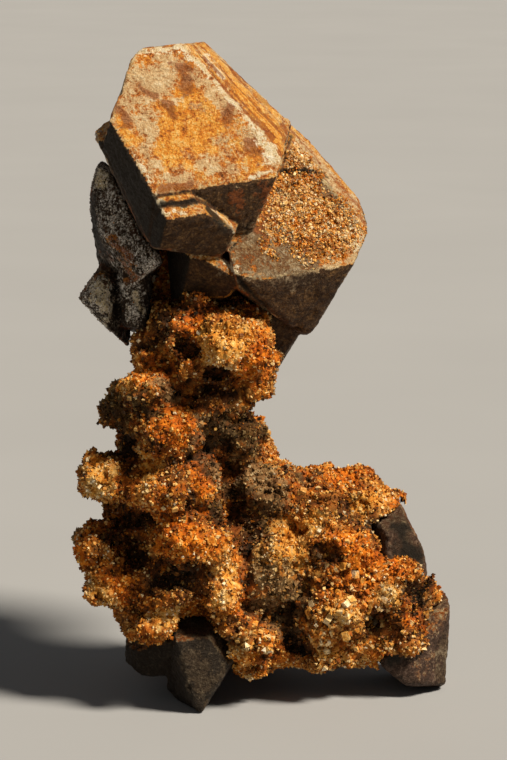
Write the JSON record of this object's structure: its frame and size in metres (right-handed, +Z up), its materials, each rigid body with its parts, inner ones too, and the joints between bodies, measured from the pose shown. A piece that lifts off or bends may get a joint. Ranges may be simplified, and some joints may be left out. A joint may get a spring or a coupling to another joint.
{
  "type": "mineral specimen",
  "caption": "Stolzite specimen: thick, sharp-edged tabular tan and grey crystals on top of a gnarled column of rusty crusted rock with smaller crystals at its foot.",
  "frame": {"origin": "middle of the footprint box, on the plane that the specimen stands on", "axes": "+Z up along the column, +X to the right and +Y away from a viewer who faces the big crystal's broad front"},
  "size_m": [0.0291, 0.024, 0.0501],
  "materials": {
    "head_crystals": "satin",
    "side_crystals": "satin",
    "foot_crystals": "satin",
    "arm_crystals": "satin",
    "matrix": "rough"
  },
  "bodies": {
    "root": {"head_crystals": "head_crystals", "side_crystals": "side_crystals", "foot_crystals": "foot_crystals", "arm_wedge_crystal": "arm_crystals", "arm_corner_crystal": "arm_crystals", "matrix": "matrix"}
  },
  "joints": []
}
